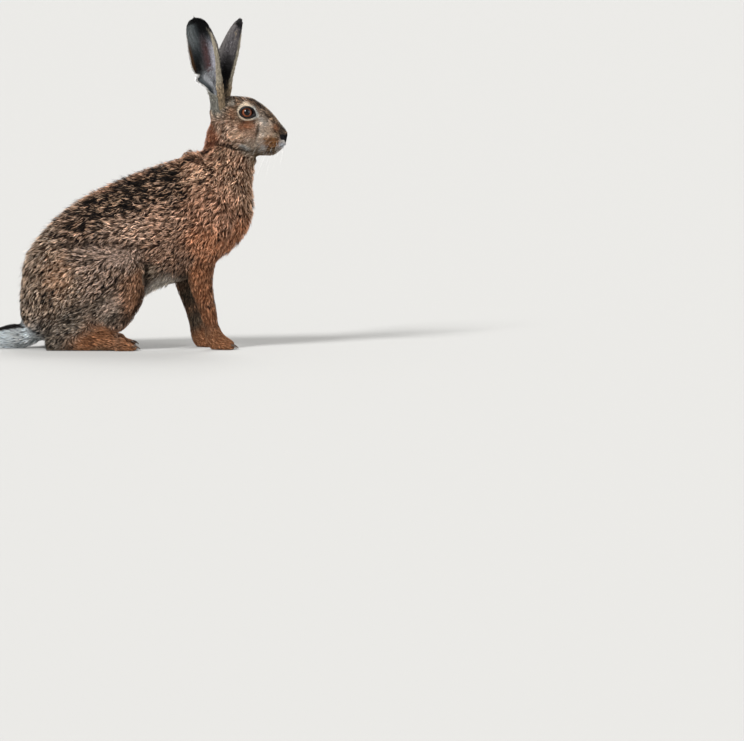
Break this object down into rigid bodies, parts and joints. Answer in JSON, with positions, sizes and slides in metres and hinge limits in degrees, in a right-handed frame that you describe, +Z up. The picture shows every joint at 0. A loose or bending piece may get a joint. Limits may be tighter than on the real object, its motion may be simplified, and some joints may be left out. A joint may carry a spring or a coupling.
{
  "type": "brown hare",
  "caption": "Life-size brown hare sitting upright on its haunches with its ears raised, as a still museum model.",
  "frame": {"origin": "middle of the bounding box on the floor that the feet stand on", "axes": "+X towards the nose, +Y to the hare's left, +Z up"},
  "size_m": [0.5126, 0.1648, 0.5646],
  "materials": {
    "coat": "ticked brown fur",
    "leg_coat": "short tawny fur",
    "tail_coat": "white fur, black on top",
    "ear": "short fur over thin skin, black tip",
    "eye": "wet amber"
  },
  "bodies": {
    "root": {"torso": "coat", "neck": "coat", "head": "coat", "left_upper_arm": "coat", "right_upper_arm": "coat", "left_thigh": "coat", "right_thigh": "coat", "left_forearm": "leg_coat", "left_fore_paw": "leg_coat", "left_shank": "leg_coat", "left_hind_foot": "leg_coat", "right_forearm": "leg_coat", "right_fore_paw": "leg_coat", "right_shank": "leg_coat", "right_hind_foot": "leg_coat", "tail": "tail_coat", "left_ear": "ear", "right_ear": "ear", "left_eye": "eye", "right_eye": "eye"}
  },
  "joints": []
}
